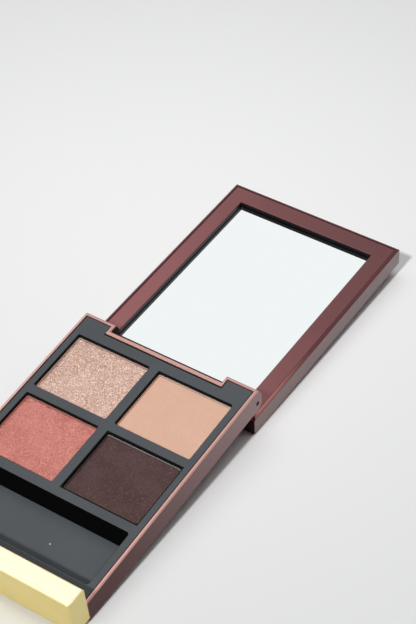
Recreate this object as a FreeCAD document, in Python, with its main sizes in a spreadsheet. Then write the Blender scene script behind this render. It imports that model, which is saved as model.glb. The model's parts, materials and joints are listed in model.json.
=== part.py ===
import FreeCAD, Part
import math
import os
import re
import Sketcher

# Eyeshadow palette, in millimetres.
# Every piece is drawn where it lies in the closed compact: X runs to the right, Y from the gold
# front bar back to the hinge, Z up, with the front of the base shell at y = 0 and its underside
# at z = 0.  The Placements then swing the lid pieces open about the hinge and tip the whole
# compact until it stands on its front bar and on the hinge end of the lid.

SIZES = {
    # base shell
    "base_width": 56.2,
    "base_height": 7.2,
    "base_floor": 0.7,
    "rim_wall": 0.8,
    "rim_bevel": 0.3,
    "notch_rim": 1.3,
    # hinge
    "hinge_distance": 76.3,
    "hinge_height": 2.6,
    "hinge_back": 2.0,
    "open_angle": 183.4,
    "ear_slant_depth": 1.2,
    "ear_slant_height": 2.4,
    "ear_round": 2.0,
    "ear_width": 10.0,
    "lug_radius": 1.4,
    "lug_gap": 1.0,
    "stop_gap": 0.06,
    "pin_diameter": 1.4,
    "pin_length": 14.0,
    "pin_recess": 1.2,
    "pin_clearance": 0.05,
    # tray
    "tray_gap": 0.15,
    "notch_gap": 0.35,
    "tray_floor": 0.5,
    "deck_thickness": 1.4,
    "deck_drop": 0.15,
    "deck_edge": 0.12,
    "cup_wall": 0.6,
    "deck_front": 3.65,
    "deck_side": 2.18,
    "deck_back": 3.6,
    "well_gap": 3.12,
    "well_radius": 0.7,
    "store_length": 17.7,
    "store_rib": 3.15,
    "store_draft": 14.0,
    "store_radius": 0.8,
    # pans and powders
    "pan_gap": 0.12,
    "pan_height": 4.9,
    "pan_wall": 0.25,
    "powder_drop": 0.15,
    "powder_gap": 0.03,
    "powder_edge": 0.1,
    "glue_diameter": 10.0,
    "glue_height": 0.15,
    # front bar and its screws
    "bar_depth": 7.0,
    "bar_lean": 1.0,
    "bar_foot": 4.0,
    "bar_end": 1.2,
    "bar_edge": 0.4,
    "screw_inset": 19.8,
    "screw_drop": 2.25,
    "screw_diameter": 1.6,
    "screw_length": 4.0,
    "screw_head_diameter": 2.8,
    "screw_head_height": 0.7,
    # closing magnets and keepers
    "magnet_inset": 9.8,
    "magnet_width": 10.0,
    "magnet_length": 2.0,
    "magnet_height": 2.0,
    "magnet_seat": 0.5,
    "post_wall": 0.3,
    "keeper_width": 10.0,
    "keeper_length": 3.0,
    "keeper_margin": 0.5,
    "keeper_thickness": 0.8,
    "keeper_cover": 0.8,
    "keeper_gap": 0.05,
    # lid
    "lid_gap": 0.15,
    "lid_end_gap": 0.25,
    "lid_thickness": 6.0,
    "lid_floor": 1.5,
    "lid_wall": 1.0,
    "lid_edge": 0.6,
    "lid_bevel": 0.4,
    "lid_heel": 1.2,
    "bezel_gap": 0.1,
    "bezel_edge": 0.15,
    "bezel_skirt": 1.2,
    "bezel_web": 0.8,
    "mirror_side": 5.75,
    "mirror_front": 6.47,
    "mirror_back": 5.5,
    "mirror_drop": 1.65,
    "mirror_thickness": 1.3,
    "mirror_gap": 0.1,
    "mirror_edge": 0.1,
    "adhesive_thickness": 0.15,
    "adhesive_margin": 1.5,
}
# Where the open compact stands, worked out further down from the sizes above.
POSE_CELLS = ["base_tilt", "stand_y", "stand_z"]

doc = FreeCAD.newDocument("palette")
sheet = doc.addObject("Spreadsheet::Sheet", "sizes")
row_of = {}
for row, name in enumerate(list(SIZES) + POSE_CELLS, start=1):
    row_of[name] = row
    sheet.set(f"A{row}", name)
    sheet.set(f"B{row}", str(SIZES.get(name, 0.0)))
    sheet.setAlias(f"B{row}", name)
doc.recompute()


def cells(text):
    """Turn an expression in plain size names into one that reads the sheet."""
    return re.sub(r"[a-z_]+", lambda word: "sizes." + word[0] if word[0] in row_of else word[0], text)


def value(text):
    """Number that an expression in plain size names stands for."""
    return float(sheet.evalExpression(cells(text)))


# Places that several pieces share, as expressions in the closed compact.
half_width = "base_width / 2"
half_notch = "(base_width / 2 - ear_width)"
rear = "(hinge_distance + hinge_back)"
ear_rim = "(hinge_distance + hinge_back - ear_slant_depth)"
past_half_turn = "(open_angle - 180)"
# The notch wall stops the lug's flank, which leans on its lower edge when the lid is open.
stop_reach = f"((lug_radius + hinge_height * sin({past_half_turn})) / cos({past_half_turn}))"
notch_wall = f"(hinge_distance - max({stop_reach}; lug_radius) - stop_gap)"
deck_top = "(base_height - deck_drop)"
deck_under = "(base_height - deck_drop - deck_thickness)"
well_floor = "(base_floor + tray_floor)"
pan_foot = f"({well_floor} + glue_height)"
pan_top = f"({pan_foot} + pan_height)"
lid_inner = "(base_height + lid_gap)"
lid_top = "(base_height + lid_gap + lid_thickness)"
# The deck's lands divide it: the store lies in front, then two rows of wells as wide as it is.
deck_inset = "(rim_wall + tray_gap)"
notch_inset = "(notch_rim + notch_gap)"
store_front = f"({deck_inset} + deck_front)"
store_far = f"({store_front} + store_length)"
store_width = f"(base_width - 2 * ({deck_inset} + deck_side))"
wells_front = f"({store_far} + store_rib)"
wells_far = f"({notch_wall} - {notch_inset} - deck_back)"
well_width = f"(({store_width} - well_gap) / 2)"
well_length = f"(({wells_far} - {wells_front} - well_gap) / 2)"
screw_height = f"({deck_under} - screw_drop)"
magnet_x = f"({half_width} - magnet_inset)"
magnet_y = f"((rim_wall + {store_front} - cup_wall) / 2)"
magnet_foot = f"({deck_under} - magnet_height)"
bezel_near = "(lid_end_gap + lid_wall + bezel_gap)"
keeper_y = f"({bezel_near} + keeper_margin + keeper_length / 2)"
bezel_back = f"({lid_top} - lid_floor)"
mirror_face = f"({lid_inner} + mirror_drop)"
mirror_back_face = f"({mirror_face} + mirror_thickness)"
recess_floor = f"({mirror_back_face} + adhesive_thickness)"

# Placements: the base is only tipped, the lid is first swung open about the hinge.
stand = "placement(vector(0; stand_y; stand_z); rotation(vector(1; 0; 0); base_tilt))"
swing = "placement(vector(0; hinge_distance; hinge_height); rotation(vector(1; 0; 0); -open_angle))"
unhinge = "placement(vector(0; -hinge_distance; -hinge_height); rotation(vector(1; 0; 0); 0))"
base_pose = stand
lid_pose = f"{stand} * {swing} * {unhinge}"

sub_parts = []


def new_body(name, pose):
    """Empty body of one sub-part, placed with the base or with the lid."""
    body = doc.addObject("PartDesign::Body", name)
    body.Label = name
    body.setExpression("Placement", cells(pose))
    sub_parts.append(body)
    return body


def new_sketch(body, name, plane, offset):
    """Sketch on one of the body's own origin planes, moved by three expressions in its own axes."""
    sketch = body.newObject("Sketcher::SketchObject", f"{body.Name}_{name}")
    planes = {feature.Role: feature for feature in body.Origin.OriginFeatures}
    sketch.AttachmentSupport = [(planes[plane], "")]
    sketch.MapMode = "FlatFace"
    for axis, distance in zip("xyz", offset):
        sketch.setExpression(f"AttachmentOffset.Base.{axis}", cells(distance))
    return sketch


def fix(sketch, kind, ends, expression):
    """Add one dimension to a sketch and bind it to an expression."""
    index = sketch.addConstraint(Sketcher.Constraint(kind, *ends, value(expression)))
    sketch.setExpression(f"Constraints[{index}]", cells(expression))


def outline(body, name, loops, plane="XY_Plane", level="0", offset=None):
    """Sketch of closed straight-sided loops whose corners are pairs of expressions."""
    sketch = new_sketch(body, name, plane, offset or ("0", "0", level))
    for loop in loops:
        first = sketch.GeometryCount
        corners = [FreeCAD.Vector(value(x), value(y), 0) for x, y in loop]
        for start, end in zip(corners, corners[1:] + corners[:1]):
            sketch.addGeometry(Part.LineSegment(start, end))
        for index, (x, y) in enumerate(loop):
            line = first + index
            after = first + (index + 1) % len(loop)
            sketch.addConstraint(Sketcher.Constraint("Coincident", line, 2, after, 1))
            fix(sketch, "DistanceX", (-1, 1, line, 1), x)
            fix(sketch, "DistanceY", (-1, 1, line, 1), y)
    return sketch


def rounded(body, name, loops, radius, level):
    """Sketch of rectangles with rounded corners, each given by its four square corners."""
    sketch = new_sketch(body, name, "XY_Plane", ("0", "0", level))
    bend = value(radius)
    for loop in loops:
        first = sketch.GeometryCount
        sides = [loop[0][1], loop[2][0], loop[2][1], loop[0][0]]
        front, right, back, left = [value(side) for side in sides]
        middle = FreeCAD.Vector((left + right) / 2, (front + back) / 2, 0)
        reach = FreeCAD.Vector((right - left) / 2 - bend, (back - front) / 2 - bend, 0)
        arcs = []
        for quarter, (x, y) in enumerate([(1, -1), (1, 1), (-1, 1), (-1, -1)]):
            centre = middle + FreeCAD.Vector(x * reach.x, y * reach.y, 0)
            circle = Part.Circle(centre, FreeCAD.Vector(0, 0, 1), bend)
            arcs.append(Part.ArcOfCircle(circle, (quarter - 1) * math.pi / 2, quarter * math.pi / 2))
        for before, after in zip(arcs[-1:] + arcs[:-1], arcs):
            sketch.addGeometry(Part.LineSegment(before.EndPoint, after.StartPoint))
            sketch.addGeometry(after)
        for index, side in enumerate(sides):
            line = first + 2 * index
            sketch.addConstraint(Sketcher.Constraint("Tangent", line, 2, line + 1, 1))
            sketch.addConstraint(Sketcher.Constraint("Tangent", line + 1, 2, first + (2 * index + 2) % 8, 1))
            upright = index % 2
            sketch.addConstraint(Sketcher.Constraint("Vertical" if upright else "Horizontal", line))
            fix(sketch, "DistanceX" if upright else "DistanceY", (-1, 1, line, 1), side)
            fix(sketch, "Radius", (line + 1,), radius)
    return sketch


def discs(body, name, circles, plane, level="0"):
    """Sketch of circles, each given by the expressions of its centre and its radius."""
    sketch = new_sketch(body, name, plane, ("0", "0", level))
    for x, y, radius in circles:
        centre = FreeCAD.Vector(value(x), value(y), 0)
        index = sketch.addGeometry(Part.Circle(centre, FreeCAD.Vector(0, 0, 1), value(radius)))
        fix(sketch, "DistanceX", (-1, 1, index, 3), x)
        fix(sketch, "DistanceY", (-1, 1, index, 3), y)
        fix(sketch, "Radius", (index,), radius)
    return sketch


def rectangle(left, right, near, far):
    """Corners of a rectangle given by its four sides."""
    return [(left, near), (right, near), (right, far), (left, far)]


def centred(width, near, far):
    """Corners of a rectangle that is centred left to right."""
    return rectangle(f"-({width}) / 2", f"({width}) / 2", near, far)


def extrude(body, kind, sketch, length, midplane=False, reverse=False):
    """Pad or Pocket of a sketch over a length given as an expression."""
    before = body.Shape.Volume if body.Tip else 0.0
    feature = body.newObject(f"PartDesign::{kind}", f"{sketch.Name}_{kind.lower()}")
    feature.Profile = sketch
    feature.Midplane = midplane
    feature.Reversed = reverse
    feature.setExpression("Length", cells(length))
    doc.recompute()
    change = body.Shape.Volume - before
    assert change > 0 if kind == "Pad" else change < 0, f"{feature.Name} changed nothing"
    return feature


def pad(body, sketch, length, **options):
    return extrude(body, "Pad", sketch, length, **options)


def pocket(body, sketch, length, **options):
    return extrude(body, "Pocket", sketch, length, **options)


def soften(body, kind, chosen, amount):
    """Fillet or Chamfer on the tip's edges that a test picks, by the ends of each edge."""
    tip = body.Tip
    names = []
    for number, edge in enumerate(tip.Shape.Edges, start=1):
        ends = [vertex.Point for vertex in edge.Vertexes]
        if len(ends) == 2 and chosen(*ends):
            names.append(f"Edge{number}")
    assert names, f"{body.Name}: no edge to soften"
    feature = body.newObject(f"PartDesign::{kind}", f"{body.Name}_{kind.lower()}")
    feature.Base = (tip, names)
    feature.setExpression("Radius" if kind == "Fillet" else "Size", cells(amount))
    doc.recompute()
    return feature


def near(number, expression):
    return abs(number - value(expression)) < 1e-4


def edge_at(height, depth=None):
    """Test for edges that lie at one height and, if asked, at one distance from the front."""

    def chosen(a, b):
        level = near(a.z, height) and near(b.z, height)
        return level and (depth is None or near(a.y, depth) and near(b.y, depth))

    return chosen


def plan(inset, at_notch):
    """Outline of the base seen from above, ears and notch included, drawn in by two insets."""
    side = f"({half_width} - {inset})"
    ear = f"({half_notch} + {inset})"
    back = f"({ear_rim} - {inset})"
    notch = f"({notch_wall} - {at_notch})"
    right = [(side, inset), (side, back), (ear, back), (ear, notch)]
    left = [(f"-{x}", y) for x, y in reversed(right)]
    return right + left


def pair_loops(width, length, centre_y, grow):
    """Rectangles of the right and left piece of a closing pair, grown on every side."""
    loops = []
    for sign in ("", "-"):
        centre = f"{sign}{magnet_x}"
        reach_x = f"({width} / 2 + {grow})"
        reach_y = f"({length} / 2 + {grow})"
        loops.append(rectangle(f"{centre} - {reach_x}", f"{centre} + {reach_x}",
                               f"{centre_y} - {reach_y}", f"{centre_y} + {reach_y}"))
    return loops


def magnet_loops(grow):
    return pair_loops("magnet_width", "magnet_length", magnet_y, grow)


def keeper_loops(grow):
    return pair_loops("keeper_width", "keeper_length", keeper_y, grow)


# Base shell: a block with two ears, hollowed from above.
shell = new_body("base_shell", base_pose)
block = outline(shell, "block", [centred("base_width", "0", notch_wall)])
pad(shell, block, "base_height")
ear_profile = [
    (notch_wall, "0"),
    (rear, "0"),
    (rear, "base_height - ear_slant_height"),
    (ear_rim, "base_height"),
    (notch_wall, "base_height"),
]
for side, start in (("right", half_notch), ("left", f"-{half_width}")):
    ear = outline(shell, f"ear_{side}", [ear_profile], "YZ_Plane", start)
    pad(shell, ear, f"{half_width} - {half_notch}")
soften(shell, "Fillet", edge_at("0", rear), "ear_round")
soften(shell, "Chamfer", edge_at("base_height"), "rim_bevel")
hollow_loop = centred("base_width - 2 * rim_wall", "rim_wall", f"{notch_wall} - notch_rim")
hollow = outline(shell, "hollow", [hollow_loop], level="base_floor")
pocket(shell, hollow, "base_height", reverse=True)
ledge = outline(shell, "ledge", [plan("rim_wall", "notch_rim")], level=deck_under)
pocket(shell, ledge, "base_height", reverse=True)
bores = discs(shell, "pin_bores", [("hinge_distance", "hinge_height", "pin_diameter / 2")], "YZ_Plane")
pocket(shell, bores, "2 * base_width", midplane=True)
screw_places = [f"{sign}({half_width} - screw_inset)" for sign in ("", "-")]
screw_circles = [(x, screw_height, "screw_diameter / 2") for x in screw_places]
screw_holes = discs(shell, "screw_holes", screw_circles, "XZ_Plane")
pocket(shell, screw_holes, "3 * rim_wall", midplane=True)
posts = outline(shell, "magnet_posts", magnet_loops("post_wall"), level="base_floor")
pad(shell, posts, f"{magnet_foot} + magnet_seat - base_floor")
seats = outline(shell, "magnet_seats", magnet_loops("0"), level=magnet_foot)
pocket(shell, seats, "2 * magnet_seat", reverse=True)

# Tray: a deck that lies inside the rim, with a cup below it for each pan and for the applicators.
wells = []
for row_front in (wells_front, f"({wells_front} + {well_length} + well_gap)"):
    for left in (f"-(well_gap / 2 + {well_width})", "well_gap / 2"):
        wells.append((left, row_front))


def well_loop(place, grow):
    """Rectangle of one well, grown on every side."""
    left, front = place
    return rectangle(f"{left} - {grow}", f"{left} + {well_width} + {grow}",
                     f"{front} - {grow}", f"{front} + {well_length} + {grow}")


store_cup = centred(f"{store_width} + 2 * cup_wall", f"{store_front} - cup_wall", f"{store_far} + cup_wall")
tray = new_body("tray", base_pose)
pad(tray, outline(tray, "deck", [plan(deck_inset, notch_inset)], level=deck_under), "deck_thickness")
cup_loops = [store_cup] + [well_loop(place, "cup_wall") for place in wells]
cups = outline(tray, "cups", cup_loops, level="base_floor")
pad(tray, cups, f"{deck_under} - base_floor")
hollows = rounded(tray, "wells", [well_loop(place, "0") for place in wells], "well_radius", well_floor)
pocket(tray, hollows, "base_height", reverse=True)
soften(tray, "Chamfer", edge_at(deck_top), "deck_edge")
# The store's walls lean, so it is lofted from its foot up to the bevel of its mouth.
store_depth = f"({deck_top} - deck_edge - {well_floor})"


def store_loop(grow):
    """Rectangle of the store, grown on every side."""
    return centred(f"{store_width} + 2 * ({grow})", f"{store_front} - ({grow})", f"{store_far} + ({grow})")


store_lean = f"-{store_depth} * tan(store_draft)"
store_sections = [
    rounded(tray, "store_mouth", [store_loop("deck_edge")], "store_radius + deck_edge", deck_top),
    rounded(tray, "store_brim", [store_loop("0")], "store_radius", f"{deck_top} - deck_edge"),
    rounded(tray, "store_foot", [store_loop(store_lean)], "store_radius", well_floor),
]
store = tray.newObject("PartDesign::SubtractiveLoft", "tray_store")
store.Profile = store_sections[0]
store.Sections = store_sections[1:]
store.Ruled = True
doc.recompute()

# Pans, their glue and the powders pressed into them, one of each in every well.
dish_floor = f"({pan_foot} + pan_wall)"


def in_well(body, name, place, gap, level):
    """Sketch of a well's outline drawn in by a gap, corners and all."""
    return rounded(body, name, [well_loop(place, f"(-{gap})")], f"well_radius - {gap}", level)


for number, place in enumerate(wells, start=1):
    pan = new_body(f"pan_{number}", base_pose)
    pad(pan, in_well(pan, "block", place, "pan_gap", pan_foot), "pan_height")
    dish = in_well(pan, "dish", place, "(pan_gap + pan_wall)", dish_floor)
    pocket(pan, dish, "pan_height", reverse=True)
    powder = new_body(f"powder_{number}", base_pose)
    cake = in_well(powder, "cake", place, "(pan_gap + pan_wall + powder_gap)", dish_floor)
    pad(powder, cake, "pan_height - pan_wall - powder_drop")
    soften(powder, "Chamfer", edge_at(f"{pan_top} - powder_drop"), "powder_edge")
    glue = new_body(f"pan_glue_{number}", base_pose)
    left, front = place
    spot = (f"{left} + {well_width} / 2", f"{front} + {well_length} / 2", "glue_diameter / 2")
    pad(glue, discs(glue, "disc", [spot], "XY_Plane", well_floor), "glue_height")

# Front bar: an ingot as tall as the closed compact, whose front leans back and is rounded at its
# foot so that a thumb can lift it.  It is screwed on from inside the base.
bar = new_body("front_bar", base_pose)
bar_profile = [
    ("-bar_depth", "0"),
    ("0", "0"),
    ("0", lid_top),
    ("bar_lean - bar_depth", lid_top),
]
pad(bar, outline(bar, "block", [bar_profile], "YZ_Plane"), "base_width", midplane=True)
soften(bar, "Fillet", edge_at("0", "-bar_depth"), "bar_foot")


def bar_ends(a, b):
    """Edges round the bar's two ends, but for those on top and those that bear on the base shell."""
    at_end = near(abs(a.x), half_width) and near(a.x - b.x, "0")
    on_top = near(a.z, lid_top) and near(b.z, lid_top)
    behind = near(a.y, "0") and near(b.y, "0")
    return at_end and not on_top and not behind


soften(bar, "Fillet", bar_ends, "bar_end")
soften(bar, "Fillet", edge_at(lid_top), "bar_edge")
pocket(bar, discs(bar, "screw_holes", screw_circles, "XZ_Plane"), "2 * screw_length", midplane=True)
screw_profile = [
    ("0", "-screw_length"),
    ("screw_diameter / 2", "-screw_length"),
    ("screw_diameter / 2", "rim_wall"),
    ("screw_head_diameter / 2", "rim_wall"),
    ("screw_head_diameter / 2", "rim_wall + screw_head_height"),
    ("0", "rim_wall + screw_head_height"),
]
for side, x in zip(("right", "left"), screw_places):
    screw = new_body(f"bar_screw_{side}", base_pose)
    profile = outline(screw, "profile", [screw_profile], offset=(x, "0", screw_height))
    turned = screw.newObject("PartDesign::Revolution", f"{screw.Name}_turned")
    turned.Profile = profile
    turned.ReferenceAxis = (profile, ["V_Axis"])
    turned.Angle = 360

# Hinge pins: pressed into the ears from outside, turning in the lid's lug.
pin_circle = ("hinge_distance", "hinge_height", "pin_diameter / 2")
pin_starts = {"right": f"{half_width} - pin_recess - pin_length", "left": f"pin_recess - {half_width}"}
for side, start in pin_starts.items():
    pin = new_body(f"hinge_pin_{side}", base_pose)
    pad(pin, discs(pin, "section", [pin_circle], "YZ_Plane", start), "pin_length")

# Closing magnets on their posts, and the steel keepers over them inside the lid.
for side, magnet_loop, keeper_loop in zip(("right", "left"), magnet_loops("0"), keeper_loops("0")):
    magnet = new_body(f"base_magnet_{side}", base_pose)
    pad(magnet, outline(magnet, "block", [magnet_loop], level=magnet_foot), "magnet_height")
    keeper = new_body(f"lid_keeper_{side}", lid_pose)
    plate = outline(keeper, "plate", [keeper_loop], level=f"{lid_inner} + keeper_cover")
    pad(keeper, plate, "keeper_thickness")

# Lid shell: a shallow tray that opens downwards when closed, with the lug that fills the notch.
lid_back_wall = "(hinge_distance - lug_radius)"
lid = new_body("lid_shell", lid_pose)
lid_plan = centred("base_width", "lid_end_gap", rear)
pad(lid, outline(lid, "block", [lid_plan], level=lid_inner), "lid_thickness")
soften(lid, "Fillet", edge_at(lid_top), "lid_edge")
soften(lid, "Chamfer", edge_at(lid_inner, rear), "lid_heel")


def lid_brim(a, b):
    """Edges round the lid's open face, but for the heel's own."""
    return edge_at(lid_inner)(a, b) and not edge_at(lid_inner, f"{rear} - lid_heel")(a, b)


soften(lid, "Chamfer", lid_brim, "lid_bevel")
cavity = centred("base_width - 2 * lid_wall", "lid_end_gap + lid_wall", lid_back_wall)
pocket(lid, outline(lid, "cavity", [cavity], level=bezel_back), f"{bezel_back} - {lid_inner}")
lug_width = f"2 * ({half_notch} - lug_gap)"
neck = rectangle("hinge_distance - lug_radius", "hinge_distance + lug_radius",
                 "hinge_height", f"{lid_inner} + lid_wall")
pad(lid, outline(lid, "lug_neck", [neck], "YZ_Plane"), lug_width, midplane=True)
barrel = ("hinge_distance", "hinge_height", "lug_radius")
pad(lid, discs(lid, "lug_barrel", [barrel], "YZ_Plane"), lug_width, midplane=True)
lug_bore = ("hinge_distance", "hinge_height", "pin_diameter / 2 + pin_clearance")
pocket(lid, discs(lid, "lug_bore", [lug_bore], "YZ_Plane"), "base_width", midplane=True)

# Mirror bezel: a frame let into the lid shell, with a recess for the mirror in its face.
bezel = new_body("mirror_bezel", lid_pose)
bezel_width = "base_width - 2 * (lid_wall + bezel_gap)"
bezel_far = f"({lid_back_wall} - bezel_gap)"
pad(bezel, outline(bezel, "block", [centred(bezel_width, bezel_near, bezel_far)], level=lid_inner),
    f"{bezel_back} - {lid_inner}")


def mirror_loop(gap):
    """Rectangle of the mirror's recess seen from above, drawn in by a gap."""
    return centred(f"base_width - 2 * (mirror_side + {gap})", f"lid_end_gap + mirror_front + {gap}",
                   f"{rear} - mirror_back - {gap}")


recess = outline(bezel, "recess", [mirror_loop("0")], level=recess_floor)
pocket(bezel, recess, f"{recess_floor} - {lid_inner}")
core = outline(bezel, "core", [mirror_loop("bezel_skirt")], level=f"{recess_floor} + bezel_web")
pocket(bezel, core, "lid_thickness", reverse=True)
keeper_seats = outline(bezel, "keeper_seats", keeper_loops("keeper_gap"), level=f"{lid_inner} + keeper_cover")
pocket(bezel, keeper_seats, "lid_thickness", reverse=True)
soften(bezel, "Chamfer", edge_at(lid_inner), "bezel_edge")

# Mirror and the adhesive sheet that holds it.
mirror = new_body("mirror", lid_pose)
pad(mirror, outline(mirror, "glass", [mirror_loop("mirror_gap")], level=mirror_face), "mirror_thickness")
soften(mirror, "Chamfer", edge_at(mirror_face), "mirror_edge")
adhesive = new_body("mirror_adhesive", lid_pose)
pad(adhesive, outline(adhesive, "sheet", [mirror_loop("adhesive_margin")], level=mirror_back_face),
    "adhesive_thickness")


def set_pose(name, number):
    """Write one number of the resting pose into its cell."""
    sheet.set(f"B{row_of[name]}", repr(number))


def swung(y, z):
    """Point of the closed lid after the lid has swung open, in the base's own frame."""
    turn = -math.radians(value("open_angle"))
    y -= value("hinge_distance")
    z -= value("hinge_height")
    return (y * math.cos(turn) - z * math.sin(turn) + value("hinge_distance"),
            y * math.sin(turn) + z * math.cos(turn) + value("hinge_height"))


# The open compact stands on two rounded edges, the bar's front foot and the back of the lid's
# outer face, so its tilt is that of the line that touches both from below.
bar_round = value("bar_foot")
lid_round = value("lid_edge")
lean = math.atan2(value("bar_lean"), value(lid_top))
foot_y = bar_round * math.tan(math.pi / 4 + lean / 2) - value("bar_depth")
heel_y, heel_z = swung(value(rear) - lid_round, value(lid_top) - lid_round)
span = math.hypot(heel_y - foot_y, heel_z - bar_round)
tilt = math.asin((lid_round - bar_round) / span) - math.atan2(heel_z - bar_round, heel_y - foot_y)
set_pose("base_tilt", math.degrees(tilt))
set_pose("stand_z", bar_round - foot_y * math.sin(tilt) - bar_round * math.cos(tilt))
doc.recompute()
reach = FreeCAD.BoundBox()
for piece in (bar, shell, lid):
    reach.add(piece.Shape.optimalBoundingBox(False))
set_pose("stand_y", -reach.Center.y)
doc.recompute()

# Nothing is written unless every object came out whole.
for thing in doc.Objects:
    assert not {"Invalid", "Error"} & set(thing.State), f"{thing.Label}: {thing.State}"
for piece in sub_parts:
    assert not piece.Shape.isNull() and piece.Shape.isValid(), f"{piece.Label} is not valid"
    assert len(piece.Shape.Solids) == 1, f"{piece.Label} is in {len(piece.Shape.Solids)} pieces"
os.makedirs("parts", exist_ok=True)
for piece in sub_parts:
    piece.Shape.exportStep(f"parts/{piece.Label}.step")
print(f"{len(sub_parts)} sub-parts, tilt {math.degrees(tilt):.3f} degrees")
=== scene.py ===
# %% [markdown]
# # An eyeshadow palette, opened flat
# A make-up compact lies open: a base with four pans of pressed powder, an applicator compartment and a gold
# bar along the front, and a lid with a mirror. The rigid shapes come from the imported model, so this lesson is
# about finishes. The cakes of powder and their glitter are the only pieces that are made here.

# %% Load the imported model
import json
import math

import bpy
from mathutils import Euler, Matrix, Vector


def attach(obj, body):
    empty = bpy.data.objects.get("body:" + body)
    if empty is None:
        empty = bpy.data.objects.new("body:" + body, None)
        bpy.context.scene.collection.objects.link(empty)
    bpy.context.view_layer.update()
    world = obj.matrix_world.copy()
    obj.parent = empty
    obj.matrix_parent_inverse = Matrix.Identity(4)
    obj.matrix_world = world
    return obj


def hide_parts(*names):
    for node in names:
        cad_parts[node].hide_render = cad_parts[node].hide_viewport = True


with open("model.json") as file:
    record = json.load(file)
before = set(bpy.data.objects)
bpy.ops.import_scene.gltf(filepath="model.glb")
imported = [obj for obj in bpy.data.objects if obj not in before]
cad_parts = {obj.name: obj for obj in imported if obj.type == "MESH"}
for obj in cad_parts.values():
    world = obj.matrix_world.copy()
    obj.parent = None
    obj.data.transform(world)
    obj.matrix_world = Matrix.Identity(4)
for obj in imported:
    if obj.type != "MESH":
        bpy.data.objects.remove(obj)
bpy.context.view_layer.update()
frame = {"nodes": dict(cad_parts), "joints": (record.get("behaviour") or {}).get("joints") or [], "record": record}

nodes = frame["nodes"]

# %% [markdown]
# ## The two bodies' own axes
# The open compact rests on the bar's foot and on the lid's heel, so the base leans back by about 6 degrees and the
# lid lies 183.4 degrees further round the hinge. A pattern that follows a rim or a recess is easier to place along
# the body's own axes. The lid's lean is that of its outer face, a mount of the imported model, and the hinge is the one
# point that both bodies share, so it is the zero of both. Along these axes each body lies as it does when shut.

# %% Lengths along each body's axes, from the hinge
MM = 0.001
HINGE = Vector(frame["joints"][0]["pos_m"])
outward = frame["record"]["mounts"][0]["axis"]
lid_turn = math.atan2(-outward[1], outward[2])
TURN = {"lid": lid_turn, "base": lid_turn + math.radians(frame["joints"][0]["range_deg"][1])}


def own_points(node, body):
    """The corners of a piece's faces along its body's axes, measured from the hinge."""
    unturn = Matrix.Rotation(-TURN[body], 3, "X")
    return [unturn @ (vertex.co - HINGE) for vertex in nodes[node].data.vertices]


def own_box(node, body):
    """Lowest and highest corner of a piece along its body's axes."""
    points = own_points(node, body)
    low = Vector(min(point[axis] for point in points) for axis in range(3))
    high = Vector(max(point[axis] for point in points) for axis in range(3))
    return low, high


base_low, base_high = own_box("base_shell", "base")
lid_low, lid_high = own_box("lid_shell", "lid")
for name, size in (("base", base_high - base_low), ("lid", lid_high - lid_low)):
    print(name, [round(1000 * v, 2) for v in size], "mm")

# %% [markdown]
# ## The camera
# The photograph looks down on the right-hand front corner through a long lens. Its place was found by matching
# the corners of the wells, the rims and the lid to the picture, which gives a point on the floor to aim at and
# a roll of just over a degree. The lens is given for the picture's height, so the sensor is fitted to it.

# %% Camera
EYE = Vector((214.86, -289.60, 364.69)) * MM
AIM = Vector((-9.43, 35.51, 0.0)) * MM
ROLL = math.radians(-1.29)
SENSOR = 36.0
FOCAL_PIXELS, PICTURE_HEIGHT = 1872.8, 624

camera_data = bpy.data.cameras.new("photo_camera")
camera_data.sensor_fit = "VERTICAL"
camera_data.sensor_height = SENSOR
camera_data.lens = SENSOR * FOCAL_PIXELS / PICTURE_HEIGHT
camera_data.clip_start = 0.01
camera = bpy.data.objects.new("photo_camera", camera_data)
bpy.context.scene.collection.objects.link(camera)
camera.location = EYE
look = (AIM - EYE).to_track_quat("-Z", "Y").to_matrix()
camera.rotation_euler = (look @ Matrix.Rotation(ROLL, 3, "Z")).to_euler()
bpy.context.scene.camera = camera
bpy.context.view_layer.update()
right = camera.matrix_world.to_3x3() @ Vector((1, 0, 0))
print("camera's right", [round(v, 4) for v in right], "lens", round(camera_data.lens, 1), "mm")

# %% [markdown]
# ## Short words for node trees
# A node tree is a drawing made of boxes and wires. These helpers put down one box, wire it and do sums, so that
# the cells below read as what the tree does. A number stays on its socket and only something that varies is wired.

# %% Boxes and wires
def put(tree, kind, values=None, **settings):
    """One node. Settings are its options, values are what its sockets hold or the sockets that feed them."""
    made = tree.nodes.new(kind)
    for name, setting in settings.items():
        setattr(made, name, setting)
    for socket, value in (values or {}).items():
        feed(tree, made.inputs[socket], value)
    return made


def feed(tree, socket, value):
    """Wires another node's output to a socket, or sets a plain value on it."""
    if isinstance(value, bpy.types.NodeSocket):
        tree.links.new(value, socket)
    else:
        socket.default_value = value


print("put makes a node, feed wires it")

# %% Sums, ramps, noise and colours
def sum_of(tree, operation, *values, clamp=False):
    """The result of one Math node."""
    made = put(tree, "ShaderNodeMath", dict(enumerate(values)), operation=operation, use_clamp=clamp)
    return made.outputs[0]


def ramp(tree, value, low, high, start=0.0, end=1.0):
    """A value that goes smoothly from start to end while the given one goes from low to high."""
    made = put(tree, "ShaderNodeMapRange", {0: value, 1: low, 2: high, 3: start, 4: end})
    made.interpolation_type = "SMOOTHSTEP"
    return made.outputs[0]


def blend(tree, share, first, second):
    """Two colours mixed by a share."""
    made = put(tree, "ShaderNodeMix", {0: share, 6: first, 7: second}, data_type="RGBA")
    return made.outputs[2]


def noise(tree, vector, scale, detail=2.0, roughness=0.5):
    """A soft random value between 0 and 1."""
    made = put(tree, "ShaderNodeTexNoise", {"Scale": scale, "Detail": detail, "Roughness": roughness})
    feed(tree, made.inputs["Vector"], vector)
    return made.outputs["Fac"]


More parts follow.
